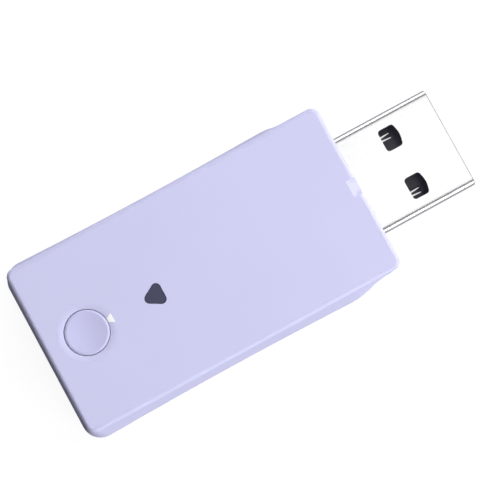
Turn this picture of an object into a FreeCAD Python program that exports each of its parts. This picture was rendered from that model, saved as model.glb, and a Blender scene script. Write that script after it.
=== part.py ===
import FreeCAD, Part
import math
import os
import Sketcher

# Wireless controller adapter: a drafted two-part plastic housing with a pairing button, a status
# lens and a Type-A plug, round a circuit board. Millimetres; +X towards the plug, +Z up; the
# origin is under the middle of the whole object, on the surface that it lies on.

SIZES = {
    # housing
    "body_length": 39.8,
    "body_height": 9.0,
    "seam_width": 22.0,
    "waist_sag": 0.2,
    "nose_width": 20.3,
    "top_width": 19.8,
    "rear_offset": 1.1,
    "front_offset": 0.3,
    "taper_length": 5.6,
    "seam_corner": 2.2,
    "top_corner": 1.0,
    "inner_corner": 0.6,
    "edge_round": 0.5,
    "crown_land": 0.1,
    "base_round": 1.0,
    "wall": 1.2,
    "roof": 1.2,
    "ground": 1.0,
    # lip, hooks, locating pins and ribs that join the two covers
    "lip_height": 0.8,
    "lip_thickness": 0.5,
    "lip_gap": 0.05,
    "hook_width": 3.0,
    "hook_thickness": 0.8,
    "hook_catch": 2.6,
    "hook_nose": 0.4,
    "hook_ramp": 0.9,
    "hook_gap": 0.1,
    "hook_rear_inset": 10.5,
    "hook_front_inset": 15.7,
    "pin_width": 1.2,
    "pin_gap": 0.12,
    "pin_rise": 1.3,
    "pin_inset": 1.6,
    "pin_rear_inset": 2.85,
    "post_wall": 0.75,
    "post_gap": 0.05,
    "rib_thickness": 0.8,
    "rib_depth": 0.7,
    "rib_inset": 5.0,
    "rib_spacing": 4.6,
    "clamp_width": 8.0,
    "clamp_inset": 0.9,
    "clamp_spacing": 3.2,
    "notch_width": 2.0,
    "notch_length": 1.1,
    "notch_depth": 0.35,
    # pairing button
    "button_inset": 5.95,
    "button_width": 4.95,
    "button_gap": 0.07,
    "button_sink": 0.04,
    "button_travel": 0.3,
    "brow_width": 0.28,
    "brow_drop": 0.09,
    "rim_width": 0.7,
    "rim_drop": 0.09,
    "dish_depth": 0.16,
    "flange_width": 6.6,
    "flange_thickness": 0.6,
    "flange_gap": 0.05,
    "guide_rib_gap": 0.1,
    "guide_rib_length": 0.6,
    "guide_rib_depth": 1.6,
    "plunger_width": 2.4,
    # status lens
    "lens_inset": 14.35,
    "lens_side": 3.05,
    "lens_corner": 0.5,
    "lens_gap": 0.05,
    "lens_sink": 0.04,
    "lens_flange_width": 4.4,
    "lens_flange_thickness": 0.8,
    "rail_gap": 0.1,
    "rail_depth": 1.2,
    "guide_width": 2.4,
    "guide_gap": 0.3,
    # Type-A plug
    "plug_width": 12.0,
    "plug_thickness": 4.5,
    "plug_reach": 11.5,
    "plug_length": 18.75,
    "plug_level": 4.5,
    "plug_sheet": 0.3,
    "plug_bend": 0.65,
    "plug_chamfer": 0.1,
    "plug_slit": 0.06,
    "plug_gap": 0.1,
    "window_width": 2.6,
    "window_length": 2.15,
    "window_spread": 6.05,
    "window_setback": 4.77,
    "window_corner": 0.4,
    "window_bulge": 0.15,
    "tab_width": 1.5,
    "tab_setback": 2.1,
    "tab_tail": 0.1,
    "tab_gap": 0.1,
    "tongue_thickness": 1.84,
    "tongue_setback": 0.35,
    "tongue_gap": 0.05,
    "mouth_depth": 12.0,
    "block_tail": 1.0,
    "contact_width": 1.0,
    "contact_sheet": 0.2,
    "contact_sink": 0.05,
    "contact_gap": 0.05,
    "contact_nose_width": 0.62,
    "contact_nose_length": 1.3,
    "contact_shoulder": 0.5,
    "contact_slit_mouth": 0.48,
    "contact_slit_root": 0.12,
    "contact_slit_length": 1.5,
    "contact_tail": 0.5,
    "contact_foot": 0.8,
    "inner_contact_spread": 2.0,
    "outer_contact_spread": 7.0,
    "inner_contact_setback": 7.41,
    "outer_contact_setback": 5.4,
    # circuit board
    "board_thickness": 0.8,
    "board_gap": 0.3,
    "board_hole_gap": 0.15,
    "board_hook_gap": 0.2,
    # tactile switch under the button
    "switch_side": 4.5,
    "switch_base_height": 1.9,
    "switch_height": 3.8,
    "switch_sheet": 0.15,
    "well_width": 3.4,
    "well_depth": 1.2,
    "stem_width": 2.0,
    "stem_gap": 0.08,
    "stem_foot_width": 2.8,
    "stem_foot_gap": 0.02,
    "dome_width": 3.2,
    "dome_crown": 1.6,
    "dome_sheet": 0.08,
    "clip_width": 1.4,
    "clip_drop": 1.1,
    "terminal_width": 0.7,
    "terminal_length": 6.2,
    "terminal_spread": 3.0,
    # parts soldered to the board
    "led_length": 1.6,
    "led_width": 0.8,
    "led_base": 0.3,
    "led_height": 0.6,
    "lead_thickness": 0.15,
    "lead_width": 0.4,
    "lead_foot": 0.45,
    "lead_pitch": 0.95,
    "lead_reach": 0.6,
    "body_lift": 0.1,
    "can_inset": 0.1,
    "can_base": 0.25,
    "terminal_cap": 0.25,
    "terminal_proud": 0.02,
    "antenna_inset": 2.35,
    "antenna_gap": 0.3,
    "antenna_length": 1.2,
    "antenna_width": 3.2,
    "antenna_height": 1.2,
}

# Packages on the board: place along the free strip between the lens and the plug, as a share of
# it, place across, length, width, height
STRIP_PARTS = {
    "radio_chip": (0.25, -4.6, 5.0, 5.0, 0.85),
    "controller_chip": (0.31, 3.2, 6.0, 6.0, 0.85),
    "regulator": (0.76, -5.0, 2.9, 1.6, 1.1),
    "crystal_1": (0.73, 4.2, 3.2, 2.5, 0.8),
    "inductor": (0.57, -0.93, 2.0, 1.25, 1.0),
    "capacitor_1": (0.18, 6.9, 1.0, 0.5, 0.5),
    "capacitor_2": (0.31, 6.9, 1.0, 0.5, 0.5),
    "capacitor_3": (0.44, 6.9, 1.0, 0.5, 0.5),
    "capacitor_4": (0.18, -7.7, 1.0, 0.5, 0.5),
    "capacitor_5": (0.31, -7.7, 1.0, 0.5, 0.5),
    "capacitor_6": (0.76, -7.4, 1.0, 0.5, 0.5),
    "resistor_1": (0.12, -0.93, 1.0, 0.5, 0.35),
    "resistor_2": (0.25, -0.93, 1.0, 0.5, 0.35),
    "resistor_3": (0.38, -0.93, 1.0, 0.5, 0.35),
}

# Packages behind the lens: distance from the rear end, place across, length, width, height
REAR_PARTS = {
    "crystal_2": (12.4, -5.2, 3.2, 2.5, 0.8),
    "resistor_4": (11.9, 0.0, 1.0, 0.5, 0.35),
}

LEAD_PAIRS = 3

doc = FreeCAD.newDocument("wireless_controller_adapter")
subparts = []


# The sheet of driving sizes

def add_board_part_sizes():
    """Give every package on the board its own named sizes."""
    for table, along in ((STRIP_PARTS, "share"), (REAR_PARTS, "inset")):
        for part, values in table.items():
            for name, value in zip((along, "across", "length", "width", "height"), values):
                SIZES[f"{part}_{name}"] = value


def fill_sheet():
    sheet = doc.addObject("Spreadsheet::Sheet", "Sizes")
    for row, (name, value) in enumerate(SIZES.items(), 1):
        sheet.set(f"A{row}", name)
        sheet.set(f"B{row}", str(value))
        sheet.setAlias(f"B{row}", name)
    doc.recompute()
    return sheet


add_board_part_sizes()
sheet = fill_sheet()


def size(name):
    return f"Sizes.{name}"


def total(*terms):
    return "(" + " + ".join(terms) + ")"


def less(first, *others):
    return "(" + " - ".join((first,) + others) + ")"


def half(term):
    return f"({term} / 2)"


def minus(term):
    return f"(-{term})"


def number_of(expression):
    return float(sheet.evalExpression(expression))


# Places that several pieces share
REAR = minus(half(total(size("body_length"), size("plug_reach"))))
FRONT = half(less(size("body_length"), size("plug_reach")))
TIP = half(total(size("body_length"), size("plug_reach")))
TOP = size("body_height")
ROOF = less(TOP, size("roof"))
PLUG_BOTTOM = less(size("plug_level"), half(size("plug_thickness")))
PLUG_TOP = total(size("plug_level"), half(size("plug_thickness")))
SEAM = less(PLUG_BOTTOM, size("plug_gap"))
BOARD_TOP = PLUG_BOTTOM
BOARD_BOTTOM = less(BOARD_TOP, size("board_thickness"))
BUTTON_X = total(REAR, size("button_inset"))
LENS_X = total(REAR, size("lens_inset"))
SHELL_REAR = less(TIP, size("plug_length"))
BLOCK_REAR = less(SHELL_REAR, size("block_tail"))
TONGUE_BOTTOM = total(PLUG_BOTTOM, size("plug_sheet"))
TONGUE_TOP = total(TONGUE_BOTTOM, size("tongue_thickness"))
GROOVE_BOTTOM = less(TONGUE_TOP, size("contact_sink"), size("contact_sheet"))
SWITCH_BASE_TOP = total(BOARD_TOP, size("switch_base_height"))
STEM_TOP = total(BOARD_TOP, size("switch_height"))
WELL_FLOOR = less(SWITCH_BASE_TOP, size("well_depth"))
DOME_RISE = total(size("button_travel"), size("dome_sheet"), size("stem_foot_gap"))
LED_TOP = total(BOARD_TOP, size("led_height"))
CONTACT_END = less(BLOCK_REAR, size("contact_tail"), size("contact_sheet"), size("contact_foot"))
CROWN = less(TOP, size("edge_round"), size("crown_land"))
LIP_OUTER = total(half(size("wall")), size("lip_gap"))
LIP_INNER = total(LIP_OUTER, size("lip_thickness"))
BOARD_SIDE = less(
    f"(min({size('seam_width')}; {size('nose_width')}) / 2)", LIP_INNER, size("board_gap")
)


def leaning(at_seam, at_top, level):
    """A distance that changes evenly from the seam up to the top face, taken at a level."""
    rise = f"(({level} - {SEAM}) / ({TOP} - {SEAM}))"
    return f"({at_seam} + ({at_top} - {at_seam}) * {rise})"


def waist(level):
    """How far the long sides bow in at a level."""
    return leaning(size("waist_sag"), "0", level)


def falling_radius(reach, drop):
    """The radius of an arc that leaves a level line and falls by drop over reach."""
    return f"(({reach} ^ 2 + {drop} ^ 2) / (2 * {drop}))"


# Sketches: a loop is a list of corners (x, y) or (x, y, bend), where bend is the radius of the
# arc that leads to the next corner, negative where it bends inwards; a ring is (x, y, "ring", r)

def arc_between(start, end, bend):
    """The arc of radius |bend| from start to end, to the left of the chord's far side."""
    chord = end - start
    reach = chord.Length / 2
    height = math.sqrt(max(bend * bend - reach * reach, 0.0))
    side = FreeCAD.Vector(-chord.y, chord.x, 0).normalize() * math.copysign(height, bend)
    centre = (start + end) * 0.5 + side
    first, last = (start, end) if bend > 0 else (end, start)
    angles = [math.atan2(point.y - centre.y, point.x - centre.x) for point in (first, last)]
    circle = Part.Circle(centre, FreeCAD.Vector(0, 0, 1), abs(bend))
    return Part.ArcOfCircle(circle, *angles)


def bind(sketch, kind, *references, expression):
    index = sketch.addConstraint(Sketcher.Constraint(kind, *references, number_of(expression)))
    sketch.setExpression(f"Constraints[{index}]", expression)


def draw_ring(sketch, ring):
    x, y, _, radius = ring
    centre = FreeCAD.Vector(number_of(x), number_of(y), 0)
    circle = Part.Circle(centre, FreeCAD.Vector(0, 0, 1), number_of(radius))
    index = sketch.addGeometry(circle, False)
    bind(sketch, "DistanceX", -1, 1, index, 3, expression=x)
    bind(sketch, "DistanceY", -1, 1, index, 3, expression=y)
    bind(sketch, "Radius", index, expression=radius)


def draw_loop(sketch, corners):
    points = [FreeCAD.Vector(number_of(c[0]), number_of(c[1]), 0) for c in corners]
    first = sketch.GeometryCount
    count = len(corners)
    ends = []
    for index, corner in enumerate(corners):
        start, end = points[index], points[(index + 1) % count]
        bend = number_of(corner[2]) if len(corner) == 3 else 0
        if bend:
            sketch.addGeometry(arc_between(start, end, bend), False)
        else:
            sketch.addGeometry(Part.LineSegment(start, end), False)
        ends.append((2, 1) if bend < 0 else (1, 2))
    for index, corner in enumerate(corners):
        after = (index + 1) % count
        here, there = first + index, first + after
        joint = Sketcher.Constraint("Coincident", here, ends[index][1], there, ends[after][0])
        sketch.addConstraint(joint)
        bind(sketch, "DistanceX", -1, 1, here, ends[index][0], expression=corner[0])
        bind(sketch, "DistanceY", -1, 1, here, ends[index][0], expression=corner[1])
        if len(corner) == 3:
            bind(sketch, "Radius", here, expression=f"abs({corner[2]})")


def sketch_on(body, name, plane, level, loops):
    """A sketch on one of the body's own planes, moved along its normal by the level."""
    sketch = body.newObject("Sketcher::SketchObject", f"{body.Name}_{name}")
    support = [f for f in body.Origin.OriginFeatures if f.Role == f"{plane}_Plane"][0]
    sketch.AttachmentSupport = (support, [""])
    sketch.MapMode = "FlatFace"
    sketch.setExpression("AttachmentOffset.Base.z", level)
    for loop in loops:
        if len(loop) == 4 and loop[2] == "ring":
            draw_ring(sketch, loop)
        else:
            draw_loop(sketch, loop)
    return sketch


def ring(x, y, radius):
    return (x, y, "ring", radius)


def box(x0, x1, y0, y1):
    return [(x0, y0), (x1, y0), (x1, y1), (x0, y1)]


def square(x, y, reach):
    return box(less(x, reach), total(x, reach), less(y, reach), total(y, reach))


def rounded_box(x0, x1, y0, y1, r):
    return [
        (total(x0, r), y0), (less(x1, r), y0, r),
        (x1, total(y0, r)), (x1, less(y1, r), r),
        (less(x1, r), y1), (total(x0, r), y1, r),
        (x0, less(y1, r)), (x0, total(y0, r), r),
    ]


def centred_box(width, depth):
    return box(minus(half(width)), half(width), minus(half(depth)), half(depth))


def mirrored(loop):
    """The same loop on the other side of the sketch's vertical axis."""
    return [(minus(corner[0]),) + tuple(corner[1:]) for corner in reversed(loop)]


# Features

def new_body(name):
    body = doc.addObject("PartDesign::Body", name)
    body.Label = name
    subparts.append(body)
    return body


def place(part, x="0", y="0", z="0"):
    for axis, expression in (("x", x), ("y", y), ("z", z)):
        part.setExpression(f"Placement.Base.{axis}", expression)


def changed_volume(feature):
    before = feature.BaseFeature.Shape.Volume if feature.BaseFeature else 0.0
    return feature.Shape.Volume - before


def pad(body, sketch, length, turned=False, middle=False):
    feature = body.newObject("PartDesign::Pad", f"{sketch.Name}_pad")
    feature.Profile = sketch
    feature.setExpression("Length", length)
    feature.Reversed = turned
    feature.Midplane = middle
    doc.recompute()
    if changed_volume(feature) <= 0:
        raise RuntimeError(f"{feature.Name} adds nothing")
    return feature


def pocket(body, sketch, length, turned=False, middle=False):
    """A pocket runs against the sketch's normal, or along it when turned."""
    feature = body.newObject("PartDesign::Pocket", f"{sketch.Name}_pocket")
    feature.Profile = sketch
    feature.setExpression("Length", length)
    feature.Reversed = turned
    feature.Midplane = middle
    doc.recompute()
    if changed_volume(feature) >= 0:
        raise RuntimeError(f"{feature.Name} cuts nothing")
    return feature


def loft(body, kind, lower, upper):
    """A solid with straight sides from the upper outline down to the lower one."""
    feature = body.newObject(f"PartDesign::{kind}Loft", f"{lower.Name}_loft")
    feature.Profile = upper
    feature.Sections = [lower]
    feature.Ruled = True
    doc.recompute()
    return feature


def revolve(body, sketch):
    feature = body.newObject("PartDesign::Revolution", f"{sketch.Name}_turned")
    feature.Profile = sketch
    feature.ReferenceAxis = (sketch, ["V_Axis"])
    feature.Angle = 360
    doc.recompute()
    return feature


def groove(body, sketch, x):
    """Cut the sketch's profile all round an upright line at x, where its own axis is moved to."""
    sketch.setExpression("AttachmentOffset.Base.x", x)
    feature = body.newObject("PartDesign::Groove", f"{sketch.Name}_turned")
    feature.Profile = sketch
    feature.ReferenceAxis = (sketch, ["V_Axis"])
    feature.Angle = 360
    doc.recompute()
    if changed_volume(feature) >= 0:
        raise RuntimeError(f"{feature.Name} cuts nothing")
    return feature


def round_edges(body, name, radius, wanted):
    """Fillet the edges of the body's last feature that the test picks."""
    tip = body.Tip
    chosen = [f"Edge{i}" for i, edge in enumerate(tip.Shape.Edges, 1) if wanted(edge)]
    feature = body.newObject("PartDesign::Fillet", f"{body.Name}_{name}")
    feature.Base = (tip, chosen)
    feature.setExpression("Radius", radius)
    doc.recompute()
    return feature


def chamfer(body, name, width, wanted):
    """Bevel the edges of the body's last feature that the test picks."""
    tip = body.Tip
    chosen = [f"Edge{i}" for i, edge in enumerate(tip.Shape.Edges, 1) if wanted(edge)]
    feature = body.newObject("PartDesign::Chamfer", f"{body.Name}_{name}")
    feature.Base = (tip, chosen)
    feature.setExpression("Size", width)
    doc.recompute()
    return feature


def lies_at(edge, level):
    low, high = edge.BoundBox.ZMin, edge.BoundBox.ZMax
    return abs(low - level) < 1e-4 and abs(high - level) < 1e-4


# Housing outlines

def housing_outline(rear, front, side, nose, rear_corner, front_corner, sag):
    """Half widths side and nose; the long sides bow in by sag, then ease in towards the plug."""
    turn = less(front, front_corner)
    start = less(turn, size("taper_length"))
    bowed = half(less(start, rear, rear_corner))
    bow = minus(falling_radius(bowed, sag))
    middle_x = half(total(start, turn))
    middle_y = half(total(side, nose))
    step = f"(({side} - {nose}) / 2)"
    run = half(size("taper_length"))
    bend = f"(({run} ^ 2 + {step} ^ 2) / (2 * max({step}; 0.001)))"
    straight = number_of(step) < 0.001
    first = () if straight else (bend,)
    second = () if straight else (minus(bend),)
    left = [
        (front, less(nose, front_corner), front_corner),
        (turn, nose) + second,
        (middle_x, middle_y) + first,
        (start, side, bow),
        (total(rear, rear_corner), side, rear_corner),
        (rear, less(side, rear_corner)),
    ]
    right = [
        (rear, minus(less(side, rear_corner)), rear_corner),
        (total(rear, rear_corner), minus(side), bow),
        (start, minus(side)) + first,
        (middle_x, minus(middle_y)) + second,
        (turn, minus(nose), front_corner),
        (front, minus(less(nose, front_corner))),
    ]
    return left + right


def seam_outline(inset, corner=None):
    rear_corner = corner or less(size("seam_corner"), inset)
    front_corner = corner or less(size("top_corner"), f"min({inset}; {half(size('top_corner'))})")
    return housing_outline(
        total(REAR, inset),
        less(FRONT, inset),
        less(half(size("seam_width")), inset),
        less(half(size("nose_width")), inset),
        rear_corner,
        front_corner,
        waist(SEAM),
    )


def upper_outline(level, inset, rear_corner, front_corner):
    """The drafted walls' outline at a level above the seam, drawn in by an inset."""
    return housing_outline(
        total(leaning(REAR, total(REAR, size("rear_offset")), level), inset),
        less(leaning(FRONT, less(FRONT, size("front_offset")), level), inset),
        less(leaning(half(size("seam_width")), half(size("top_width")), level), inset),
        less(leaning(half(size("nose_width")), half(size("top_width")), level), inset),
        rear_corner,
        front_corner,
        waist(level),
    )


def crown_outline(corner):
    side = leaning(half(size("seam_width")), half(size("top_width")), CROWN)
    return rounded_box(
        leaning(REAR, total(REAR, size("rear_offset")), CROWN),
        leaning(FRONT, less(FRONT, size("front_offset")), CROWN),
        minus(side), side, corner,
    )


def inner_side(level):
    """Half width inside the top cover's walls."""
    at_level = leaning(half(size("seam_width")), half(size("top_width")), level)
    return less(at_level, waist(level), size("wall"))


# Shared patterns

HOOK_CATCH = total(SEAM, size("hook_catch"))
HOOK_TOP = total(HOOK_CATCH, size("hook_ramp"))
HOOK_OUT = less(inner_side(HOOK_TOP), size("hook_gap"))
HOOK_PLACES = [total(REAR, size("hook_rear_inset")), less(FRONT, size("hook_front_inset"))]
PIN_X = total(REAR, LIP_INNER, size("board_gap"), size("pin_rear_inset"))
PIN_Y = less(BOARD_SIDE, size("pin_inset"))
PIN_PLACES = [(PIN_X, PIN_Y), (PIN_X, minus(PIN_Y))]
CLAMP_PLACES = [
    f"({SHELL_REAR} + {size('clamp_inset')} + {number} * {size('clamp_spacing')})"
    for number in (0, 1)
]
PIN_TOP = total(BOARD_TOP, size("pin_rise"))
TAB_X = total(SHELL_REAR, size("tab_setback"))
POST_REACH = total(half(size("pin_width")), size("pin_gap"), size("post_wall"))
ANTENNA_Y = minus(less(PIN_Y, POST_REACH, size("antenna_gap"), half(size("antenna_width"))))


def triangle(side, corner):
    """An equilateral triangle with round corners, one of them pointing to the rear."""
    cut = f"({corner} * sqrt(3))"
    nose_x = f"(-{side} / sqrt(3))"
    back_x = f"({side} / (2 * sqrt(3)))"
    lean_x = f"({cut} * sqrt(3) / 2)"
    lean_y = half(cut)
    wide = half(side)
    return [
        (total(nose_x, lean_x), minus(lean_y)),
        (less(back_x, lean_x), minus(less(wide, lean_y)), corner),
        (back_x, minus(less(wide, cut))),
        (back_x, less(wide, cut), corner),
        (less(back_x, lean_x), less(wide, lean_y)),
        (total(nose_x, lean_x), lean_y, corner),
    ]


def shifted(loop, x):
    return [(total(corner[0], x),) + tuple(corner[1:]) for corner in loop]


# Top cover

def add_guides(body):
    """Four ribs round the button's flange, and two rails that hold the lens."""
    inner = total(half(size("flange_width")), size("guide_rib_gap"))
    outer = total(inner, size("guide_rib_length"))
    thick = half(size("rib_thickness"))
    loops = [
        box(total(BUTTON_X, inner), total(BUTTON_X, outer), minus(thick), thick),
        box(less(BUTTON_X, outer), less(BUTTON_X, inner), minus(thick), thick),
        box(less(BUTTON_X, thick), total(BUTTON_X, thick), inner, outer),
        box(less(BUTTON_X, thick), total(BUTTON_X, thick), minus(outer), minus(inner)),
    ]
    level = less(ROOF, size("guide_rib_depth"))
    deep = total(size("guide_rib_depth"), half(size("roof")))
    pad(body, sketch_on(body, "button_guides", "XY", level, loops), deep)
    side = half(size("lens_flange_width"))
    inner = total(side, size("rail_gap"))
    outer = total(inner, size("rib_thickness"))
    loops = [
        box(total(LENS_X, inner), total(LENS_X, outer), minus(side), side),
        box(less(LENS_X, outer), less(LENS_X, inner), minus(side), side),
    ]
    rails = sketch_on(body, "lens_rails", "XY", less(ROOF, size("rail_depth")), loops)
    pad(body, rails, total(size("rail_depth"), half(size("roof"))))


def add_posts(body):
    """Square posts that press on the board; their bores take the base cover's pins."""
    bottom = total(BOARD_TOP, size("post_gap"))
    loops = [square(x, y, POST_REACH) for x, y in PIN_PLACES]
    pad(body, sketch_on(body, "posts", "XY", bottom, loops), total(less(ROOF, bottom), half(size("roof"))))
    bore = total(half(size("pin_width")), size("pin_gap"))
    loops = [ring(x, y, bore) for x, y in PIN_PLACES]
    pocket(body, sketch_on(body, "bores", "XY", bottom, loops), size("pin_rise"), turned=True)


def add_ribs(body):
    """Stiffening ribs across the roof, and deeper ones that hold the plug down."""
    reach = total(inner_side(ROOF), half(size("wall")))
    thick = half(size("rib_thickness"))
    loops = []
    for number in (0, 1, 2):
        x = f"({LENS_X} + {size('rib_inset')} + {number} * {size('rib_spacing')})"
        loops.append(box(less(x, thick), total(x, thick), minus(reach), reach))
    level = less(ROOF, size("rib_depth"))
    deep = total(size("rib_depth"), half(size("roof")))
    pad(body, sketch_on(body, "ribs", "XY", level, loops), deep)
    side = half(size("clamp_width"))
    loops = [box(less(x, thick), total(x, thick), minus(side), side) for x in CLAMP_PLACES]
    level = total(PLUG_TOP, size("post_gap"))
    deep = total(less(ROOF, level), half(size("roof")))
    pad(body, sketch_on(body, "clamps", "XY", level, loops), deep)


def cut_catches(body):
    """Recesses in the side walls for the base cover's hooks."""
    level = less(HOOK_CATCH, size("hook_gap"))
    inner = less(HOOK_OUT, size("hook_gap"))
    outer = total(HOOK_OUT, size("hook_nose"), size("hook_gap"))
    reach = total(half(size("hook_width")), size("hook_gap"))
    loops = []
    for x in HOOK_PLACES:
        loops.append(box(less(x, reach), total(x, reach), inner, outer))
        loops.append(box(less(x, reach), total(x, reach), minus(outer), minus(inner)))
    high = total(size("hook_ramp"), size("hook_gap"), size("hook_gap"))
    pocket(body, sketch_on(body, "catches", "XY", level, loops), high, turned=True)


def cut_openings(body):
    """Button hole with a softly falling rim, lens window and the open-bottomed plug gap."""
    hole = total(half(size("button_width")), size("button_gap"))
    through = total(size("roof"), size("edge_round"))
    circle = sketch_on(body, "button_hole", "XY", TOP, [ring(BUTTON_X, "0", hole)])
    pocket(body, circle, through)
    edge = total(hole, size("rim_width"))
    low = less(TOP, size("rim_drop"))
    above = total(TOP, size("roof"))
    middle = less(hole, size("rim_width"))
    fall = minus(falling_radius(size("rim_width"), size("rim_drop")))
    profile = [(middle, low), (hole, low, fall), (edge, TOP), (edge, above), (middle, above)]
    groove(body, sketch_on(body, "button_rim", "XZ", "0", [profile]), BUTTON_X)
    gap = size("lens_gap")
    window = triangle(f"({size('lens_side')} + 2 * sqrt(3) * {gap})", total(size("lens_corner"), gap))
    pocket(body, sketch_on(body, "lens_window", "XY", TOP, [shifted(window, LENS_X)]), through)
    side = total(half(size("plug_width")), size("plug_gap"))
    opening = box(minus(side), side, less(SEAM, size("lip_height")), total(PLUG_TOP, size("plug_gap")))
    outside = total(FRONT, size("wall"))
    depth = total(size("wall"), size("wall"), size("wall"))
    pocket(body, sketch_on(body, "plug_opening", "YZ", outside, [opening]), depth)


def cut_front_notch(body):
    """A finger-nail ramp in the middle of the top face that falls towards the plug."""
    end = less(FRONT, size("front_offset"))
    start = less(end, size("notch_length"))
    past = total(end, size("wall"))
    slope = f"({size('notch_depth')} / {size('notch_length')})"
    low = f"({TOP} - {slope} * ({past} - {start}))"
    above = total(TOP, size("wall"))
    profile = [(start, TOP), (past, low), (past, above), (start, above)]
    notch = sketch_on(body, "front_notch", "XZ", "0", [profile])
    pocket(body, notch, size("notch_width"), middle=True)


def make_top_cover():
    body = new_body("top_cover")
    corner = size("top_corner")
    lower = sketch_on(body, "seam", "XY", SEAM, [seam_outline("0")])
    upper = sketch_on(body, "shoulder", "XY", CROWN, [upper_outline(CROWN, "0", corner, corner)])
    loft(body, "Additive", lower, upper)
    crown = sketch_on(body, "crown", "XY", CROWN, [crown_outline(corner)])
    pad(body, crown, less(TOP, CROWN))
    top = number_of(TOP)
    round_edges(body, "top_edges", size("edge_round"), lambda e: lies_at(e, top))
    cut_front_notch(body)
    inner = size("inner_corner")
    lower = sketch_on(body, "hollow", "XY", SEAM, [seam_outline(size("wall"), inner)])
    upper = sketch_on(body, "roof", "XY", ROOF, [upper_outline(ROOF, size("wall"), inner, inner)])
    loft(body, "Subtractive", lower, upper)
    rebate = sketch_on(body, "rebate", "XY", SEAM, [seam_outline(half(size("wall")), inner)])
    pocket(body, rebate, total(size("lip_height"), size("lip_gap")), turned=True)
    add_guides(body)
    add_posts(body)
    add_ribs(body)
    cut_catches(body)
    cut_openings(body)


# Base cover

def add_hooks(body):
    """Snap hooks: a springy upright with a nose that ramps in towards its top."""
    back = less(HOOK_OUT, size("hook_thickness"))
    foot = half(size("ground"))
    tip = total(HOOK_OUT, size("hook_nose"))
    profile = [
        (back, foot),
        (HOOK_OUT, foot),
        (HOOK_OUT, HOOK_CATCH),
        (tip, HOOK_CATCH),
        (tip, total(HOOK_CATCH, half(half(size("hook_ramp"))))),
        (HOOK_OUT, HOOK_TOP),
        (back, HOOK_TOP),
    ]
    for number, x in enumerate(HOOK_PLACES, 1):
        sketch = sketch_on(body, f"hook_{number}", "YZ", x, [profile, mirrored(profile)])
        pad(body, sketch, size("hook_width"), middle=True)


def add_board_seats(body):
    """Standoffs with locating pins, and ribs under the switch and the plug."""
    rise = less(BOARD_BOTTOM, half(size("ground")))
    loops = [square(x, y, POST_REACH) for x, y in PIN_PLACES]
    pad(body, sketch_on(body, "standoffs", "XY", half(size("ground")), loops), rise)
    loops = [ring(x, y, half(size("pin_width"))) for x, y in PIN_PLACES]
    rise = less(PIN_TOP, size("pin_gap"), half(size("ground")))
    pad(body, sketch_on(body, "pins", "XY", half(size("ground")), loops), rise)
    side = half(size("clamp_width"))
    thick = half(size("rib_thickness"))
    spots = (BUTTON_X, LENS_X, CLAMP_PLACES[0])
    loops = [box(less(x, thick), total(x, thick), minus(side), side) for x in spots]
    rise = less(BOARD_BOTTOM, half(size("ground")))
    pad(body, sketch_on(body, "seats", "XY", half(size("ground")), loops), rise)


def add_lip(body):
    """The lip that stands in the top cover's rebate, left open where the plug passes."""
    corner = size("inner_corner")
    level = less(SEAM, half(size("ground")))
    loops = [seam_outline(LIP_OUTER, corner), seam_outline(LIP_INNER, corner)]
    rise = total(size("lip_height"), half(size("ground")))
    pad(body, sketch_on(body, "lip", "XY", level, loops), rise)
    side = total(half(size("plug_width")), size("plug_gap"), size("plug_gap"))
    end = total(FRONT, size("wall"))
    start = less(FRONT, size("wall"), size("wall"))
    gap = sketch_on(body, "lip_gap", "XY", SEAM, [box(start, end, minus(side), side)])
    pocket(body, gap, total(size("lip_height"), size("wall")), turned=True)


def make_base_cover():
    body = new_body("base_cover")
    pad(body, sketch_on(body, "outline", "XY", "0", [seam_outline("0")]), SEAM)
    round_edges(body, "bottom_edges", size("base_round"), lambda e: lies_at(e, 0.0))
    hollow = sketch_on(body, "hollow", "XY", SEAM, [seam_outline(LIP_INNER, size("inner_corner"))])
    pocket(body, hollow, less(SEAM, size("ground")))
    add_lip(body)
    add_board_seats(body)
    add_hooks(body)


# Pairing button and status lens

def make_button():
    body = new_body("pairing_button")
    crown = less(TOP, size("button_sink"))
    flange_top = less(ROOF, size("flange_gap"))
    flange_bottom = less(flange_top, size("flange_thickness"))
    cap = half(size("button_width"))
    flange = half(size("flange_width"))
    plunger = half(size("plunger_width"))
    dish = less(cap, size("brow_width"))
    deep = size("dish_depth")
    profile = [
        ("0", STEM_TOP),
        (plunger, STEM_TOP),
        (plunger, flange_bottom),
        (flange, flange_bottom),
        (flange, flange_top),
        (cap, flange_top),
        (cap, less(crown, size("brow_drop")), falling_radius(size("brow_width"), size("brow_drop"))),
        (dish, crown, minus(falling_radius(dish, deep))),
        ("0", less(crown, deep)),
    ]
    revolve(body, sketch_on(body, "profile", "XZ", "0", [profile]))
    place(body, x=BUTTON_X)


def make_lens():
    body = new_body("status_lens")
    loop = triangle(size("lens_side"), size("lens_corner"))
    rise = less(size("roof"), size("lens_sink"))
    pad(body, sketch_on(body, "window", "XY", ROOF, [loop]), rise)
    flange = centred_box(size("lens_flange_width"), size("lens_flange_width"))
    pad(body, sketch_on(body, "flange", "XY", ROOF, [flange]), size("lens_flange_thickness"), turned=True)
    guide = centred_box(size("guide_width"), size("guide_width"))
    start = total(LED_TOP, size("guide_gap"))
    pad(body, sketch_on(body, "guide", "XY", start, [guide]), less(ROOF, start))
    place(body, x=LENS_X)


# Type-A plug

def shell_section(inset, corner):
    side = less(half(size("plug_width")), inset)
    return rounded_box(minus(side), side, total(PLUG_BOTTOM, inset), less(PLUG_TOP, inset), corner)


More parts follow.
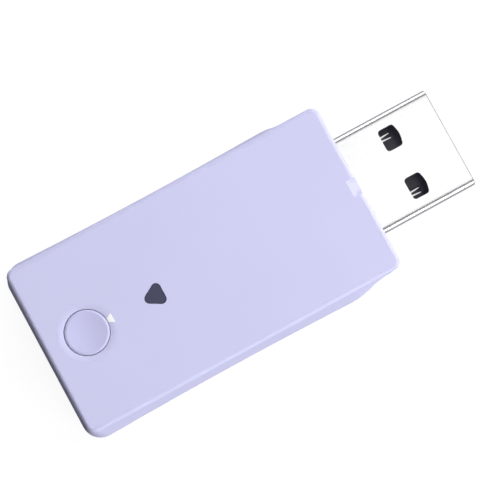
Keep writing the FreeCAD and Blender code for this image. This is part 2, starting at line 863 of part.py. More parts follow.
def is_outer_tip_edge(edge, tip):
    """Whether the edge is on the outside of the shell's open end."""
    low, high = edge.BoundBox.XMin, edge.BoundBox.XMax
    if abs(low - tip) > 1e-4 or abs(high - tip) > 1e-4:
        return False
    middle = edge.valueAt((edge.FirstParameter + edge.LastParameter) / 2)
    side = number_of(half(size("plug_width"))) - number_of(half(size("plug_sheet")))
    rise = number_of(half(size("plug_thickness"))) - number_of(half(size("plug_sheet")))
    return abs(middle.y) > side or abs(middle.z - number_of(size("plug_level"))) > rise


def latch_window(rear, front, across):
    """A round-cornered window whose edge towards the tip is bowed."""
    corner, bulge = size("window_corner"), size("window_bulge")
    low = less(across, half(size("window_width")))
    high = total(across, half(size("window_width")))
    flat = less(front, bulge)
    chord = less(half(size("window_width")), corner)
    bow = falling_radius(chord, bulge)
    return [
        (total(rear, corner), low), (less(flat, corner), low, corner),
        (flat, total(low, corner), bow), (flat, less(high, corner), corner),
        (less(flat, corner), high), (total(rear, corner), high, corner),
        (rear, less(high, corner)), (rear, total(low, corner), corner),
    ]


def make_usb_shell():
    body = new_body("usb_shell")
    sheet_metal = size("plug_sheet")
    loops = [
        shell_section("0", size("plug_bend")),
        shell_section(sheet_metal, less(size("plug_bend"), sheet_metal)),
    ]
    pad(body, sketch_on(body, "section", "YZ", SHELL_REAR, loops), size("plug_length"))
    front = less(TIP, size("window_setback"))
    rear = less(front, size("window_length"))
    across = half(size("window_spread"))
    loops = [latch_window(rear, front, y) for y in (across, minus(across))]
    windows = sketch_on(body, "windows", "XY", total(PLUG_TOP, sheet_metal), loops)
    pocket(body, windows, total(size("plug_thickness"), sheet_metal, sheet_metal))
    tip = number_of(TIP)
    chamfer(body, "tip", size("plug_chamfer"), lambda e: is_outer_tip_edge(e, tip))
    slit = half(size("plug_slit"))
    above = total(PLUG_BOTTOM, sheet_metal, sheet_metal)
    seam = box(minus(slit), slit, less(PLUG_BOTTOM, sheet_metal), above)
    pocket(body, sketch_on(body, "slit", "YZ", TIP, [seam]), size("plug_length"))
    outer = half(size("plug_width"))
    inner = less(outer, sheet_metal)
    x0 = less(TAB_X, half(size("tab_width")))
    x1 = total(TAB_X, half(size("tab_width")))
    loops = [box(x0, x1, inner, outer), box(x0, x1, minus(outer), minus(inner))]
    low = less(BOARD_BOTTOM, size("tab_tail"))
    pad(body, sketch_on(body, "tabs", "XY", low, loops), less(size("plug_level"), low))


def make_insulator():
    body = new_body("usb_insulator")
    side = less(half(size("plug_width")), size("plug_sheet"), size("tongue_gap"))
    soft = less(size("plug_bend"), size("plug_sheet"), minus(size("tongue_gap")))
    front = less(TIP, size("tongue_setback"))
    section = [
        (less(side, soft), TONGUE_BOTTOM, soft),
        (side, total(TONGUE_BOTTOM, soft)),
        (side, TONGUE_TOP),
        (minus(side), TONGUE_TOP),
        (minus(side), total(TONGUE_BOTTOM, soft), soft),
        (minus(less(side, soft)), TONGUE_BOTTOM),
    ]
    pad(body, sketch_on(body, "tongue", "YZ", BLOCK_REAR, [section]), less(front, BLOCK_REAR))
    ceiling = less(PLUG_TOP, size("plug_sheet"), size("tongue_gap"))
    block = rounded_box(minus(side), side, TONGUE_BOTTOM, ceiling, soft)
    block_length = less(less(TIP, size("mouth_depth")), BLOCK_REAR)
    pad(body, sketch_on(body, "block", "YZ", BLOCK_REAR, [block]), block_length)
    reach = total(half(size("contact_width")), size("contact_gap"))
    for name in ("inner", "outer"):
        start = total(less(TIP, size(f"{name}_contact_setback")), size("contact_gap"))
        across = half(size(f"{name}_contact_spread"))
        loops = [
            box(less(y, reach), total(y, reach), GROOVE_BOTTOM, TONGUE_TOP)
            for y in (across, minus(across))
        ]
        grooves = sketch_on(body, f"{name}_grooves", "YZ", start, loops)
        pocket(body, grooves, less(start, BLOCK_REAR))


def cut_fork(body, end, high):
    """Narrow the strip's end to a nose and slit it, so that two fingers taper towards the tip."""
    wide = half(size("contact_width"))
    slim = half(size("contact_nose_width"))
    neck = less(end, size("contact_nose_length"))
    start = less(neck, size("contact_shoulder"))
    flank = [(end, slim), (end, wide), (start, wide), (neck, slim)]
    other = [(x, minus(y)) for x, y in reversed(flank)]
    mouth, root = half(size("contact_slit_mouth")), half(size("contact_slit_root"))
    apex = less(end, size("contact_slit_length"))
    slit = [(end, minus(mouth)), (end, mouth), (apex, root), (apex, minus(root))]
    fork = sketch_on(body, "fork", "XY", high, [flank, other, slit])
    pocket(body, fork, size("contact_sheet"))


def make_contacts():
    """Spring strips that lie in the tongue and bend down to their pads on the board."""
    sheet_metal = size("contact_sheet")
    high = total(GROOVE_BOTTOM, sheet_metal)
    leg_front = less(BLOCK_REAR, size("contact_tail"))
    leg_rear = less(leg_front, sheet_metal)
    foot_top = total(BOARD_TOP, sheet_metal)
    spots = (
        ("outer", half(size("outer_contact_spread"))),
        ("inner", half(size("inner_contact_spread"))),
        ("inner", minus(half(size("inner_contact_spread")))),
        ("outer", minus(half(size("outer_contact_spread")))),
    )
    for number, (kind, across) in enumerate(spots, 1):
        body = new_body(f"usb_contact_{number}")
        end = less(TIP, size(f"{kind}_contact_setback"))
        profile = [
            (end, GROOVE_BOTTOM), (end, high),
            (leg_rear, high), (leg_rear, foot_top),
            (CONTACT_END, foot_top), (CONTACT_END, BOARD_TOP),
            (leg_front, BOARD_TOP), (leg_front, GROOVE_BOTTOM),
        ]
        pad(body, sketch_on(body, "strip", "XZ", "0", [profile]), size("contact_width"), middle=True)
        cut_fork(body, end, high)
        place(body, y=across)


# Circuit board

def make_board():
    body = new_body("circuit_board")
    rear = total(REAR, LIP_INNER, size("board_gap"))
    front = less(FRONT, LIP_INNER, size("board_gap"))
    edge = BOARD_SIDE
    notch = less(HOOK_OUT, size("hook_thickness"), size("board_hook_gap"))
    reach = total(half(size("hook_width")), size("board_hook_gap"))
    side = [(rear, minus(edge))]
    for x in HOOK_PLACES:
        side += [
            (less(x, reach), minus(edge)),
            (less(x, reach), minus(notch)),
            (total(x, reach), minus(notch)),
            (total(x, reach), minus(edge)),
        ]
    side.append((front, minus(edge)))
    outline = side + [(x, y[2:-1]) for x, y in reversed(side)]
    hole = total(half(size("pin_width")), size("board_hole_gap"))
    loops = [outline] + [ring(x, y, hole) for x, y in PIN_PLACES]
    outer = total(half(size("plug_width")), size("tab_gap"))
    inner = less(half(size("plug_width")), size("plug_sheet"), size("tab_gap"))
    x0 = less(TAB_X, half(size("tab_width")), size("tab_gap"))
    x1 = total(TAB_X, half(size("tab_width")), size("tab_gap"))
    loops += [box(x0, x1, inner, outer), box(x0, x1, minus(outer), minus(inner))]
    pad(body, sketch_on(body, "outline", "XY", BOARD_BOTTOM, loops), size("board_thickness"))


# Tactile switch

def make_switch():
    base = new_body("switch_base")
    side = size("switch_side")
    block = sketch_on(base, "block", "XY", BOARD_TOP, [centred_box(side, side)])
    pad(base, block, size("switch_base_height"))
    well = sketch_on(base, "well", "XY", SWITCH_BASE_TOP, [ring("0", "0", half(size("well_width")))])
    pocket(base, well, size("well_depth"))
    reach = half(size("terminal_width"))
    across = half(size("terminal_spread"))
    long_side = total(half(size("terminal_length")), size("switch_sheet"))
    loops = [
        box(minus(long_side), long_side, less(y, reach), total(y, reach))
        for y in (across, minus(across))
    ]
    grooves = sketch_on(base, "grooves", "XY", BOARD_TOP, loops)
    pocket(base, grooves, size("switch_sheet"), turned=True)
    place(base, x=BUTTON_X)

    for number, y in enumerate((across, minus(across)), 1):
        strip = new_body(f"switch_contact_{number}")
        loop = centred_box(size("terminal_length"), size("terminal_width"))
        pad(strip, sketch_on(strip, "strip", "XY", BOARD_TOP, [loop]), size("switch_sheet"))
        place(strip, x=BUTTON_X, y=y)

    cover = new_body("switch_cover")
    wide = total(side, size("switch_sheet"), size("switch_sheet"))
    hole = total(half(size("stem_width")), size("stem_gap"))
    loops = [centred_box(side, wide), ring("0", "0", hole)]
    pad(cover, sketch_on(cover, "plate", "XY", SWITCH_BASE_TOP, loops), size("switch_sheet"))
    clip = half(size("clip_width"))
    loops = [
        box(minus(clip), clip, half(side), half(wide)),
        box(minus(clip), clip, minus(half(wide)), minus(half(side))),
    ]
    clips = sketch_on(cover, "clips", "XY", total(SWITCH_BASE_TOP, size("switch_sheet")), loops)
    pad(cover, clips, total(size("clip_drop"), size("switch_sheet")), turned=True)
    place(cover, x=BUTTON_X)


def make_dome_and_stem():
    dome = new_body("switch_dome")
    reach, skin = half(size("dome_width")), size("dome_sheet")
    crown = half(size("dome_crown"))
    profile = [
        (reach, "0"),
        (crown, DOME_RISE),
        ("0", DOME_RISE),
        ("0", less(DOME_RISE, skin)),
        (less(crown, skin), less(DOME_RISE, skin)),
        (less(reach, skin), "0"),
    ]
    revolve(dome, sketch_on(dome, "profile", "XZ", "0", [profile]))
    place(dome, x=BUTTON_X, z=WELL_FLOOR)

    stem = new_body("switch_stem")
    foot = total(WELL_FLOOR, DOME_RISE, size("stem_foot_gap"))
    shoulder = less(SWITCH_BASE_TOP, size("stem_foot_gap"))
    wide, slim = half(size("stem_foot_width")), half(size("stem_width"))
    profile = [
        ("0", foot),
        (wide, foot),
        (wide, shoulder),
        (slim, shoulder),
        (slim, STEM_TOP),
        ("0", STEM_TOP),
    ]
    revolve(stem, sketch_on(stem, "profile", "XZ", "0", [profile]))
    place(stem, x=BUTTON_X)


# Parts soldered to the board

def place_on_board(body, name):
    if name in STRIP_PARTS:
        x = f"({LENS_X} + {size(f'{name}_share')} * ({CONTACT_END} - {LENS_X}))"
    else:
        x = total(REAR, size(f"{name}_inset"))
    across = ANTENNA_Y if name == "antenna" else size(f"{name}_across")
    place(body, x=x, y=across, z=BOARD_TOP)


def make_flat_part(name):
    body = new_body(name)
    loop = centred_box(size(f"{name}_length"), size(f"{name}_width"))
    pad(body, sketch_on(body, "body", "XY", "0", [loop]), size(f"{name}_height"))
    place_on_board(body, name)


def make_leaded_part(name):
    """A package on pairs of bent leads, each pair one strip that runs through the body."""
    body = new_body(name)
    length, width, height = (size(f"{name}_{word}") for word in ("length", "width", "height"))
    loop = centred_box(length, width)
    pad(body, sketch_on(body, "body", "XY", size("body_lift"), [loop]), less(height, size("body_lift")))
    thick = size("lead_thickness")
    end = total(half(width), size("lead_reach"))
    knee = less(end, size("lead_foot"))
    high = half(height)
    right = [
        (less(knee, thick), high),
        (less(knee, thick), "0"),
        (end, "0"),
        (end, thick),
        (knee, thick),
        (knee, total(high, thick)),
    ]
    profile = right + mirrored(right)
    for number in range(LEAD_PAIRS):
        x = f"({size('lead_pitch')} * {number - (LEAD_PAIRS - 1) / 2})"
        strip = sketch_on(body, f"leads_{number + 1}", "YZ", x, [profile])
        pad(body, strip, size("lead_width"), middle=True)
    place_on_board(body, name)


def make_can(name):
    """A metal can with a base flange, as on a crystal."""
    body = new_body(name)
    length, width = size(f"{name}_length"), size(f"{name}_width")
    pad(body, sketch_on(body, "flange", "XY", "0", [centred_box(length, width)]), size("can_base"))
    inset = size("can_inset")
    narrow = centred_box(less(length, inset, inset), less(width, inset, inset))
    pad(body, sketch_on(body, "can", "XY", "0", [narrow]), size(f"{name}_height"))
    place_on_board(body, name)


def make_block(name, plane="XZ"):
    """A block with a slightly larger metal cap on each end, its profile drawn on the plane."""
    body = new_body(name)
    long_word, short_word = ("length", "width") if plane == "XZ" else ("width", "length")
    end = half(size(f"{name}_{long_word}"))
    height = size(f"{name}_height")
    neck = less(end, size("terminal_cap"))
    proud = size("terminal_proud")
    profile = [
        (minus(end), "0"), (minus(neck), "0"), (minus(neck), proud), (neck, proud),
        (neck, "0"), (end, "0"), (end, height), (neck, height),
        (neck, less(height, proud)), (minus(neck), less(height, proud)),
        (minus(neck), height), (minus(end), height),
    ]
    side = sketch_on(body, "side", plane, "0", [profile])
    pad(body, side, size(f"{name}_{short_word}"), middle=True)
    place_on_board(body, name)


def make_status_led():
    body = new_body("status_led")
    loop = centred_box(size("led_length"), size("led_width"))
    pad(body, sketch_on(body, "base", "XY", BOARD_TOP, [loop]), size("led_base"))
    loop = centred_box(less(size("led_length"), half(size("led_width"))), size("led_width"))
    pad(body, sketch_on(body, "dome", "XY", BOARD_TOP, [loop]), size("led_height"))
    place(body, x=LENS_X)


# Build and write every piece

def build_all():
    make_top_cover()
    make_base_cover()
    make_button()
    make_lens()
    make_usb_shell()
    make_insulator()
    make_contacts()
    make_board()
    make_switch()
    make_dome_and_stem()
    make_status_led()
    for name in ("radio_chip", "controller_chip"):
        make_flat_part(name)
    make_leaded_part("regulator")
    for name in ("crystal_1", "crystal_2"):
        make_can(name)
    make_block("antenna", plane="YZ")
    for name in [*STRIP_PARTS, *REAR_PARTS]:
        if name.startswith(("inductor", "capacitor", "resistor")):
            make_block(name)


def check_all():
    doc.recompute()
    for item in doc.Objects:
        if "Invalid" in item.State or "Error" in item.State:
            raise RuntimeError(f"{item.Name} failed: {item.State}")
    for part in subparts:
        shape = part.Shape
        if shape.isNull() or not shape.isValid() or len(shape.Solids) != 1:
            raise RuntimeError(f"{part.Label} is not one valid solid")


build_all()
check_all()
os.makedirs("parts", exist_ok=True)
for part in subparts:
    part.Shape.exportStep(f"parts/{part.Label}.step")
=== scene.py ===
import math

import bmesh
import bpy
from mathutils import Euler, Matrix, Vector


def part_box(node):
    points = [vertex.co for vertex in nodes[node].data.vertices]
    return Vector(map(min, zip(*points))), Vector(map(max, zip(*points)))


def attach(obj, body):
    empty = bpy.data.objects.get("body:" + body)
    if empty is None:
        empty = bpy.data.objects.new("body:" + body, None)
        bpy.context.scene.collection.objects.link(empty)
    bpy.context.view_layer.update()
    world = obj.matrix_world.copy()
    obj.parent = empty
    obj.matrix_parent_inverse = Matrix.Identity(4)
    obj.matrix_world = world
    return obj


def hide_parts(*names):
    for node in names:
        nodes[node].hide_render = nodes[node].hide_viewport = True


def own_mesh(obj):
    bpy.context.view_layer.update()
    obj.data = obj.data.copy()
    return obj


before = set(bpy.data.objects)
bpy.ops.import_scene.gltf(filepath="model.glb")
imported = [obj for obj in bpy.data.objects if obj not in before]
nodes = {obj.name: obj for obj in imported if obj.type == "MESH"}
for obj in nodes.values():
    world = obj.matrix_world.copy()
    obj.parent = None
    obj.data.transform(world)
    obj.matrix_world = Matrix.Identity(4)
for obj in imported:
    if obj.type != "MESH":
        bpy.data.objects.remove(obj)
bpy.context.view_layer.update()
scene = bpy.context.scene
MM = 0.001

# Base colours, in linear light
PLASTIC = (0.600, 0.598, 0.842)
BUTTON = (0.550, 0.545, 0.800)
LENS = (0.069, 0.070, 0.119)
MARK = (0.98, 0.97, 1.0)
SEAM = (0.17, 0.17, 0.26)
STEEL = (0.90, 0.90, 0.91)
# The grey of the painted dark reflections on the plug's steel
DARK_REFLECTION_GREY = (0.21, 0.21, 0.23)
INSULATOR = (0.096, 0.092, 0.136)
PLATE = (0.60, 0.60, 0.62)
SOLDER_MASK = (0.020, 0.130, 0.060)
EPOXY = (0.022, 0.022, 0.024)
TAN = (0.42, 0.27, 0.14)
BONE = (0.70, 0.68, 0.60)
CLEAR = (0.80, 0.76, 0.52)
TIN = (0.72, 0.71, 0.69)
PAPER = ((0.155, 0.155, 0.16), (0.165, 0.165, 0.17))
WHITE = (1.0, 1.0, 1.0, 1.0)

# Moulded plastic: a cloudiness, and a fine grain that also varies the gloss
CLOUD_SCALE = 90
CLOUD_DETAIL = 2
CLOUD_ENDS = (0.30, 0.70)
GRAIN_DETAIL = 5
GRAIN_ROUGHNESS = 0.6
GLOSS_SWING = 0.05

# Sheet metal: rolling lines along X, which also vary the gloss
LINE_SCALE = 2200
LINE_DETAIL = 6
LINE_ROUGHNESS = 0.65
LINE_STRETCH = (1, 14, 14)
LINE_ENDS = (0.35, 0.65)
LINE_SHADE = 0.97
LINE_GLOSS = (0.75, 1.25)
LINE_HEIGHT = 8.0e-7

# The line between the two covers
SEAM_LEVEL = 2.15 * MM
SEAM_HALF = 0.05 * MM

# The printed triangle. It reaches as far from its centre as its inradius, 0.2887 of its width, along
# each of these directions: towards its three sides, and down from the top face.
MARK_CENTRE = (-16.80 * MM, 0.10 * MM, 9.0 * MM)
MARK_WIDTH = 1.15 * MM
MARK_INRADIUS = MARK_WIDTH * 0.2887
MARK_DIRECTIONS = ((1, 0, 0), (-0.5, 0.866, 0), (-0.5, -0.866, 0), (0, 0, -1))

# Painted dark reflections on the plug's steel, standing in for the shadowed floor and dark surround
# that its bends, flanks and cut ends would mirror. Its (place, share) stops go by how far the sheet
# faces up or down, and by how far it faces along the plug. Its rim, a painted shade that widens the
# dark line, fades in beside the bends, by how far it lies aside.
BEND_SHARES = ((0.04, 0.50), (0.12, 0.80), (0.50, 0.90), (0.80, 0.75), (0.93, 0.46), (0.97, 0.40),
               (0.995, 0.0))
END_SHARES = ((0.45, 0.0), (0.60, 0.60))
RIM_SHARE = 0.36
RIM_ENDS = (5.10 * MM, 5.48 * MM)

# The switch's spring dome
DOME_SHEET = 0.08 * MM
DOME_RINGS = 8
DOME_STEPS = 64
DOME_MERGE = 1.0e-7
DOME_SHARP = math.radians(40)

# The floor: its paper, and the glow that only the camera and reflections see, whiter far away
FLOOR_SIZE = 3.0
FLOOR_LEVEL = -2.0e-5
PAPER_SCALE = 60
PAPER_DETAIL = 3
PAPER_ENDS = (0.3, 0.7)
FLOOR_GLOW = (0.90, 1.0)
FLOOR_GLOW_ENDS = (0.15, 0.45)

# Lamps: place, what they point at, width, depth and power
LAMPS = {
    "overhead": ((0.19, 0.03, 1.00), (0.19, 0.03, 0.0), 0.30, 0.34, 0.52),
    "side": ((0.10, -0.45, 0.22), (0.0, 0.0, 0.0), 0.50, 0.14, 2.60),
    "far_side": ((0.10, 0.45, 0.22), (0.0, 0.0, 0.0), 0.50, 0.14, 1.88),
    "front": ((0.42, 0.0, 0.30), (0.0, 0.0, 0.0), 0.30, 0.10, 1.82),
}

# The surround that the camera and reflections see, as (sine of the height, grey) stops: white
# round the floor, a grey ceiling and a dark zenith. It lights the object only faintly.
SKY_GREYS = ((0.45, 1.0), (0.60, 0.48), (0.91, 0.36), (0.97, 0.03))
SKY_LIGHT = 0.016

# The camera fitted to the photograph; its turn is in degrees
PICTURE_PIXELS = 500.0
FOCAL_PIXELS = 1385.74
SENSOR_WIDTH = 36.0
CAMERA_CLIP = (0.01, 10.0)
CAMERA_PLACE = (-6.824 * MM, -8.193 * MM, 158.897 * MM)
CAMERA_TURN = (3.799, -0.899, -28.621)


class Nodes:
    """A small writer for one material's shader nodes."""

    def __init__(self, name):
        self.material = bpy.data.materials.new(name)
        self.material.use_nodes = True
        self.tree = self.material.node_tree
        self.tree.nodes.clear()
        self.shader = self.add("ShaderNodeBsdfPrincipled")
        surface = self.add("ShaderNodeOutputMaterial")
        self.link(self.shader, "BSDF", surface, "Surface")
        self.place = self.add("ShaderNodeTexCoord")

    def add(self, kind, **values):
        node = self.tree.nodes.new(kind)
        for key, value in values.items():
            setattr(node, key, value)
        return node

    def link(self, source, out, target, into):
        self.tree.links.new(source.outputs[out], target.inputs[into])

    def put(self, **values):
        """Values for the shader's own sockets, with _ for the spaces in their names."""
        for key, value in values.items():
            self.shader.inputs[key.replace("_", " ")].default_value = value

    def noise(self, scale, detail, roughness=0.5, stretch=(1, 1, 1)):
        spread = self.add("ShaderNodeMapping")
        spread.inputs["Scale"].default_value = stretch
        self.link(self.place, "Object", spread, "Vector")
        node = self.add("ShaderNodeTexNoise")
        node.inputs["Scale"].default_value = scale
        node.inputs["Detail"].default_value = detail
        node.inputs["Roughness"].default_value = roughness
        self.link(spread, "Vector", node, "Vector")
        return node

    def ramp(self, source, out, stops):
        node = self.add("ShaderNodeValToRGB")
        set_stops(node, stops)
        self.link(source, out, node, "Fac")
        return node

    def span(self, source, out, low, high, start=0.0, stop=1.0):
        """The source's values from start to stop, spread between low and high."""
        node = self.add("ShaderNodeMapRange")
        node.inputs["From Min"].default_value = start
        node.inputs["From Max"].default_value = stop
        node.inputs["To Min"].default_value = low
        node.inputs["To Max"].default_value = high
        self.link(source, out, node, "Value")
        return node

    def parts(self, coordinates):
        """The X, Y and Z of one kind of texture coordinates."""
        node = self.add("ShaderNodeSeparateXYZ")
        self.link(self.place, coordinates, node, "Vector")
        return node

    def unsigned(self, source, out):
        node = self.add("ShaderNodeMath", operation="ABSOLUTE")
        self.link(source, out, node, 0)
        return node

    def over(self, mask, colour):
        """Another colour laid over the base colour where the mask's socket is 1."""
        under = self.shader.inputs["Base Color"].links[0].from_socket
        node = self.add("ShaderNodeMixRGB")
        node.inputs["Color2"].default_value = (*colour, 1.0)
        self.tree.links.new(under, node.inputs["Color1"])
        self.tree.links.new(mask, node.inputs["Fac"])
        self.link(node, "Color", self.shader, "Base Color")

    def bump(self, source, out, height):
        node = self.add("ShaderNodeBump")
        node.inputs["Distance"].default_value = height
        self.link(source, out, node, "Height")
        self.link(node, "Normal", self.shader, "Normal")


def set_stops(node, stops):
    """Gives a colour ramp its (place, colour) stops, in their order."""
    first, *middle, last = stops
    steps = node.color_ramp.elements
    for index, (place, colour) in ((0, first), (1, last)):
        steps[index].position = place
        steps[index].color = (*colour, 1.0)
    for place, colour in middle:
        steps.new(place).color = (*colour, 1.0)


def greys(stops):
    return [(place, (share, share, share)) for place, share in stops]


def greatest(tree, sockets):
    """A socket with the largest of the sockets' values."""
    total, *others = sockets
    for other in others:
        both = tree.nodes.new("ShaderNodeMath")
        both.operation = "MAXIMUM"
        tree.links.new(total, both.inputs[0])
        tree.links.new(other, both.inputs[1])
        total = both.outputs[0]
    return total


def watched(tree):
    """1 for camera, glossy and transmission rays, which see the backdrop, and 0 for the rest."""
    path = tree.nodes.new("ShaderNodeLightPath")
    rays = ("Is Camera Ray", "Is Glossy Ray", "Is Transmission Ray")
    return greatest(tree, [path.outputs[ray] for ray in rays])


def moulded(name, colour, roughness, grain=2600, height=2.0e-6, shade=0.012, **put):
    """Moulded plastic: a faint cloudiness, a fine grain and a satin gloss that varies a little."""
    m = Nodes(name)
    cloud = m.noise(CLOUD_SCALE, CLOUD_DETAIL)
    low = tuple(c * (1 - shade) for c in colour)
    high = tuple(min(c * (1 + shade), 1.0) for c in colour)
    tint = m.ramp(cloud, "Fac", zip(CLOUD_ENDS, (low, high)))
    m.link(tint, "Color", m.shader, "Base Color")
    fine = m.noise(grain, GRAIN_DETAIL, GRAIN_ROUGHNESS)
    gloss = m.span(fine, "Fac", roughness - GLOSS_SWING, roughness + GLOSS_SWING)
    m.link(gloss, "Result", m.shader, "Roughness")
    m.bump(fine, "Fac", height)
    m.put(**put)
    return m


def metal(name, colour, roughness):
    """Plated sheet metal with fine rolling lines along one axis."""
    m = Nodes(name)
    lines = m.noise(LINE_SCALE, LINE_DETAIL, LINE_ROUGHNESS, LINE_STRETCH)
    low = tuple(c * LINE_SHADE for c in colour)
    tint = m.ramp(lines, "Fac", zip(LINE_ENDS, (low, colour)))
    m.link(tint, "Color", m.shader, "Base Color")
    gloss = m.span(lines, "Fac", roughness * LINE_GLOSS[0], roughness * LINE_GLOSS[1])
    m.link(gloss, "Result", m.shader, "Roughness")
    m.bump(lines, "Fac", LINE_HEIGHT)
    m.put(Metallic=1.0)
    return m


def print_triangle(m):
    """A small printed triangle on the top face, one corner towards the rear end."""
    offset = m.add("ShaderNodeVectorMath", operation="SUBTRACT")
    offset.inputs[1].default_value = MARK_CENTRE
    m.link(m.place, "Object", offset, 0)
    reaches = []
    for direction in MARK_DIRECTIONS:
        reach = m.add("ShaderNodeVectorMath", operation="DOT_PRODUCT")
        reach.inputs[1].default_value = direction
        m.link(offset, "Vector", reach, 0)
        reaches.append(reach.outputs["Value"])
    inside = m.add("ShaderNodeMath", operation="LESS_THAN")
    inside.inputs[1].default_value = MARK_INRADIUS
    m.tree.links.new(greatest(m.tree, reaches), inside.inputs[0])
    m.over(inside.outputs["Value"], MARK)


def parting_line(m):
    """A fine dark line round the housing where the two covers meet."""
    near = m.add("ShaderNodeMath", operation="COMPARE")
    near.inputs[1].default_value = SEAM_LEVEL
    near.inputs[2].default_value = SEAM_HALF
    m.link(m.parts("Object"), "Z", near, 0)
    m.over(near.outputs["Value"], SEAM)


def paint_dark_reflections(m):
    """Painted dark reflections: a dark grey on the sheet's bends, flanks and cut ends, fading in
    beside the bends.
    """
    facing = m.parts("Normal")
    bend = m.ramp(m.unsigned(facing, "Z"), "Value", greys(BEND_SHARES))
    end = m.ramp(m.unsigned(facing, "X"), "Value", greys(END_SHARES))
    rim = m.span(m.unsigned(m.parts("Object"), "Y"), "Value", 0.0, RIM_SHARE, *RIM_ENDS)
    shares = [bend.outputs["Color"], end.outputs["Color"], rim.outputs["Result"]]
    m.over(greatest(m.tree, shares), DARK_REFLECTION_GREY)


def dress(names, finish):
    for name in names:
        for slot in nodes[name].material_slots:
            slot.material = finish.material


def numbered(stem, count):
    return [f"{stem}_{i}" for i in range(1, count + 1)]


def turned(name, profile, centre, finish):
    """A closed sheet: a profile of (radius, height) points turned round an upright axis."""
    shape = bmesh.new()
    x, y, z = centre
    points = [shape.verts.new((x + radius, y, z + height)) for radius, height in profile]
    edges = [shape.edges.new(pair) for pair in zip(points, points[1:])]
    bmesh.ops.spin(shape, geom=points + edges, cent=centre, axis=(0, 0, 1), angle=math.tau,
                   steps=DOME_STEPS, use_merge=True)
    bmesh.ops.remove_doubles(shape, verts=shape.verts, dist=DOME_MERGE)
    bmesh.ops.recalc_face_normals(shape, faces=shape.faces)
    mesh = bpy.data.meshes.new(name)
    shape.to_mesh(mesh)
    shape.free()
    mesh.shade_smooth()
    mesh.set_sharp_from_angle(angle=DOME_SHARP)
    mesh.materials.append(finish.material)
    piece = bpy.data.objects.new(name, mesh)
    scene.collection.objects.link(piece)
    return piece


def paper_floor():
    """A pale floor that keeps the object's shadow and shows near white."""
    bpy.ops.mesh.primitive_plane_add(size=FLOOR_SIZE, location=(0, 0, FLOOR_LEVEL))
    plane = bpy.context.object
    plane.name = "floor"
    m = Nodes("floor_paper")
    fibres = m.noise(PAPER_SCALE, PAPER_DETAIL)
    tint = m.ramp(fibres, "Fac", zip(PAPER_ENDS, PAPER))
    m.link(tint, "Color", m.shader, "Base Color")
    m.put(Roughness=0.9, Specular_IOR_Level=0.1, Emission_Color=WHITE)
    reach = m.add("ShaderNodeVectorMath", operation="LENGTH")
    m.link(m.place, "Object", reach, 0)
    white = m.span(reach, "Value", *FLOOR_GLOW, *FLOOR_GLOW_ENDS)
    glow = m.add("ShaderNodeMapRange")
    m.tree.links.new(watched(m.tree), glow.inputs["Value"])
    m.link(white, "Result", glow, "To Max")
    m.link(glow, "Result", m.shader, "Emission Strength")
    plane.data.materials.append(m.material)
    return plane


def area_light(name, place, aim, width, depth, power):
    light = bpy.data.lights.new(name, "AREA")
    light.shape = "RECTANGLE"
    light.size = width
    light.size_y = depth
    light.energy = power
    lamp = bpy.data.objects.new(name, light)
    lamp.location = place
    lamp.rotation_euler = (Vector(aim) - Vector(place)).to_track_quat("-Z", "Y").to_euler()
    scene.collection.objects.link(lamp)


def studio_world():
    """The graded surround, by the height of the ray's direction."""
    world = bpy.data.worlds.new("studio")
    world.use_nodes = True
    tree = world.node_tree
    sky = tree.nodes["Background"]
    sky.inputs["Color"].default_value = WHITE
    place = tree.nodes.new("ShaderNodeTexCoord")
    split = tree.nodes.new("ShaderNodeSeparateXYZ")
    tree.links.new(place.outputs["Generated"], split.inputs["Vector"])
    grey = tree.nodes.new("ShaderNodeValToRGB")
    set_stops(grey, greys(SKY_GREYS))
    tree.links.new(split.outputs["Z"], grey.inputs["Fac"])
    strength = tree.nodes.new("ShaderNodeMapRange")
    strength.inputs["To Min"].default_value = SKY_LIGHT
    tree.links.new(watched(tree), strength.inputs["Value"])
    tree.links.new(grey.outputs["Color"], strength.inputs["To Max"])
    tree.links.new(strength.outputs["Result"], sky.inputs["Strength"])
    return world


# Materials of the carried-over pieces
cover = moulded("cover_plastic", PLASTIC, 0.40, Specular_IOR_Level=0.0, Metallic=0.03)
top = moulded("top_plastic", PLASTIC, 0.40, Specular_IOR_Level=0.0, Metallic=0.03)
parting_line(cover)
parting_line(top)
print_triangle(top)
button = moulded("button_plastic", BUTTON, 0.38, Specular_IOR_Level=0.06)
lens = moulded("lens_plastic", LENS, 0.30, grain=3200, height=8.0e-7, shade=0.06,
               Specular_IOR_Level=0.08)
steel = metal("plug_steel", STEEL, 0.26)
# Painted dark reflections on the plug's bends, flanks and cut ends
paint_dark_reflections(steel)
black = moulded("insulator_plastic", INSULATOR, 0.34, shade=0.10)
plate = metal("contact_plate", PLATE, 0.22)
mask = moulded("solder_mask", SOLDER_MASK, 0.30, grain=1500, height=1.5e-6, shade=0.15)
tin = metal("tin_plate", TIN, 0.30)
epoxy = moulded("chip_epoxy", EPOXY, 0.50, grain=6000, height=2.5e-6, shade=0.12)
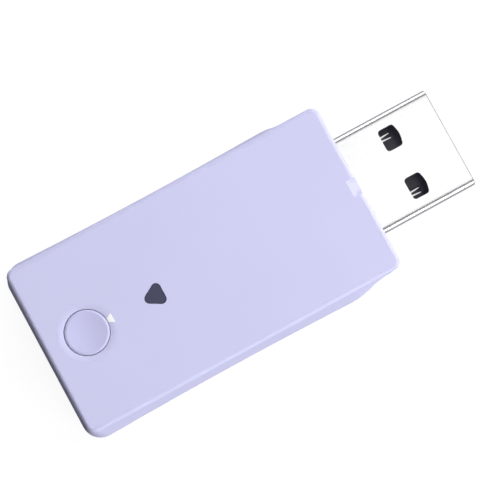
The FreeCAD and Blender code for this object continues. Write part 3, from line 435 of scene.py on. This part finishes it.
tan = moulded("capacitor_ceramic", TAN, 0.40, shade=0.10)
bone = moulded("antenna_ceramic", BONE, 0.45, shade=0.05)
clear = moulded("diode_resin", CLEAR, 0.25, shade=0.04)

dress(["top_cover"], top)
dress(["base_cover"], cover)
dress(["pairing_button"], button)
dress(["status_lens"], lens)
dress(["usb_shell"], steel)
dress(["usb_insulator", "switch_base", "switch_stem"], black)
dress(numbered("usb_contact", 4) + numbered("switch_contact", 2), plate)
dress(["switch_cover", "switch_dome", *numbered("crystal", 2)], tin)
dress(["circuit_board"], mask)
dress(["radio_chip", "controller_chip", "regulator", *numbered("resistor", 4), "inductor"], epoxy)
dress(numbered("capacitor", 6), tan)
dress(["antenna"], bone)
dress(["status_led"], clear)

for node in nodes.values():
    node.data.shade_smooth()
    node.modifiers.new("smooth", "WEIGHTED_NORMAL").keep_sharp = True

# The switch's spring dome. On the real switch it flattens under the stem as the button goes down;
# here it keeps its shape
low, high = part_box("switch_dome")
dome_reach = (high[0] - low[0]) / 2
dome_foot = ((low[0] + high[0]) / 2, (low[1] + high[1]) / 2, low[2])
underside = []
for ring in range(DOME_RINGS + 1):
    share = ring / DOME_RINGS
    rise = (high[2] - low[2] - DOME_SHEET) * (1 - share ** 2)
    underside.append((dome_reach * share, rise))
upside = [(radius, height + DOME_SHEET) for radius, height in underside]
dome = turned("spring_dome", upside + underside[::-1], dome_foot, tin)
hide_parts("switch_dome")
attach(dome, "housing")
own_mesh(dome)

# Floor, lights and camera
floor = paper_floor()
for name, lamp in LAMPS.items():
    area_light(name, *lamp)
scene.world = studio_world()

camera_data = bpy.data.cameras.new("camera")
camera_data.sensor_width = SENSOR_WIDTH
camera_data.lens = FOCAL_PIXELS / PICTURE_PIXELS * SENSOR_WIDTH
camera_data.clip_start, camera_data.clip_end = CAMERA_CLIP
camera = bpy.data.objects.new("camera", camera_data)
camera.location = CAMERA_PLACE
camera.rotation_euler = Euler(tuple(math.radians(turn) for turn in CAMERA_TURN))
scene.collection.objects.link(camera)
scene.camera = camera
scene.view_settings.view_transform = "Standard"
